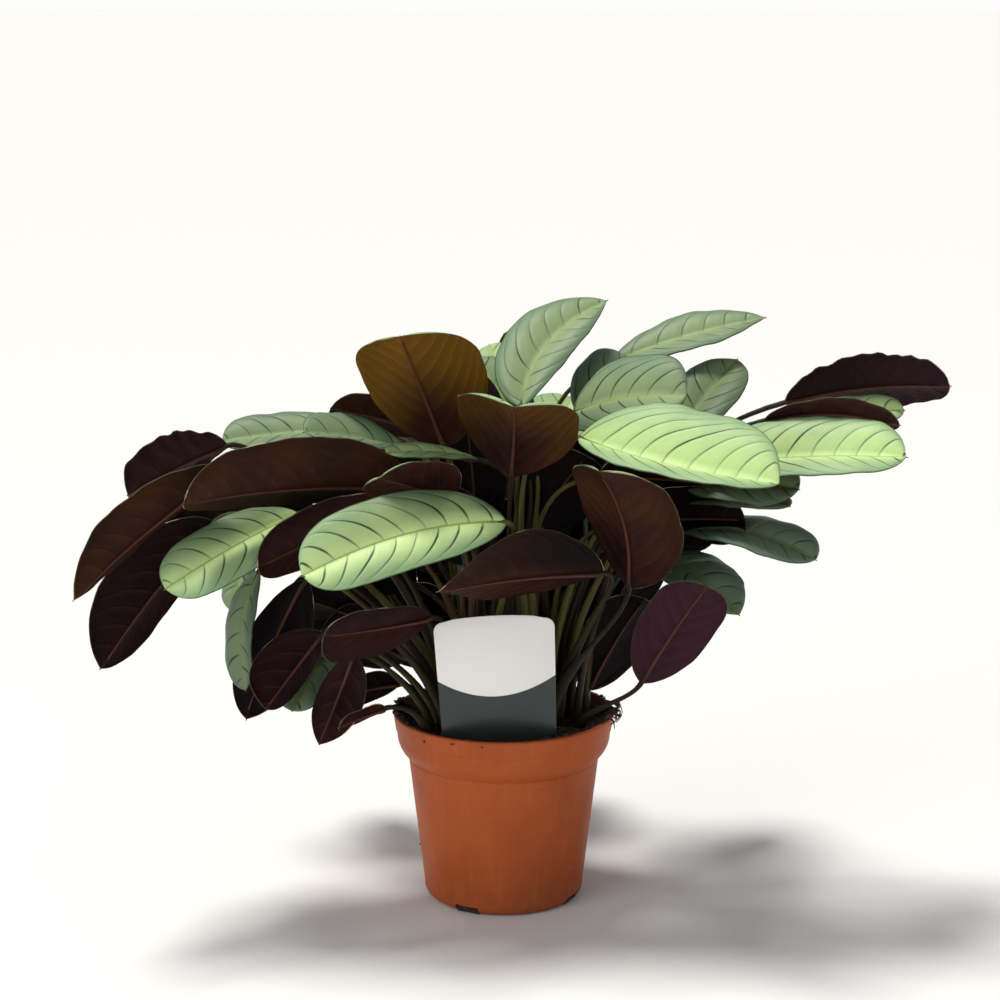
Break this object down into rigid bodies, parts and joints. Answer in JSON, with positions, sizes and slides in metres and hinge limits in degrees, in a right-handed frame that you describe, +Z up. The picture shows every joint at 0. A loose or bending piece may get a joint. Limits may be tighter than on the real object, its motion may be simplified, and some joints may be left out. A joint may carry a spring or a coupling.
{
  "type": "potted foliage plant",
  "caption": "Bushy potted ctenanthe: oblong green leaves with dark veins and maroon undersides on slender stalks, in a round terracotta-coloured nursery pot with a plant tag.",
  "frame": {"origin": "middle of the pot's flat underside, on the ground", "axes": "+Z up, +X to the viewer's right in the picture, +Y away from the viewer"},
  "size_m": [0.4506, 0.2695, 0.3217],
  "materials": {
    "pot": "satin",
    "soil": "matte",
    "plant_tag": "satin",
    "leaf_green": "satin",
    "leaf_maroon": "satin"
  },
  "bodies": {
    "root": {"pot": "pot", "soil": "soil", "plant_tag": "plant_tag", "leaf_front_left": "leaf_green", "leaf_front_right": "leaf_green", "leaf_centre": "leaf_maroon", "leaf_centre_right": "leaf_maroon", "leaf_centre_low": "leaf_maroon", "leaf_top_left": "leaf_maroon", "leaf_top": "leaf_green", "leaf_left_long": "leaf_maroon", "leaf_left_drooping": "leaf_maroon", "leaf_left_curled": "leaf_maroon", "leaf_left_green_outer": "leaf_green", "leaf_left_green_inner": "leaf_green", "leaf_left_folded": "leaf_maroon", "leaf_left_edge": "leaf_green", "leaf_left_behind_top": "leaf_maroon", "leaf_left_maroon": "leaf_maroon", "leaf_left_green_low": "leaf_green", "leaf_left_dark_tail": "leaf_maroon", "leaf_left_hanging_green": "leaf_green", "leaf_left_hanging_pale": "leaf_green", "leaf_left_hanging_dark": "leaf_maroon", "leaf_low_brown": "leaf_maroon", "leaf_low_green": "leaf_green", "leaf_low_wide": "leaf_maroon", "leaf_low_purple": "leaf_maroon", "leaf_low_small": "leaf_maroon", "leaf_low_edge": "leaf_maroon", "leaf_top_small_left": "leaf_green", "leaf_top_small_right": "leaf_green", "leaf_top_small_purple": "leaf_maroon", "leaf_top_violet": "leaf_maroon", "leaf_right_top": "leaf_green", "leaf_right_grey": "leaf_green", "leaf_right_hump": "leaf_green", "leaf_right_olive": "leaf_green", "leaf_right_bright": "leaf_green", "leaf_right_purple": "leaf_maroon", "leaf_right_brown": "leaf_maroon", "leaf_right_green_tip": "leaf_green", "leaf_right_pale_under": "leaf_green", "leaf_right_thin": "leaf_green", "leaf_right_teal": "leaf_green", "leaf_right_low_teal": "leaf_green", "leaf_right_low_maroon": "leaf_maroon", "leaf_inner_centre": "leaf_maroon", "leaf_back_left": "leaf_maroon", "leaf_back_centre": "leaf_maroon", "leaf_back_right": "leaf_maroon", "leaf_back_upright": "leaf_green", "leaf_back_low_left": "leaf_maroon", "leaf_back_low_centre": "leaf_maroon", "leaf_back_low_right": "leaf_maroon", "leaf_back_fill_left": "leaf_maroon", "leaf_back_fill_right": "leaf_maroon"}
  },
  "joints": []
}
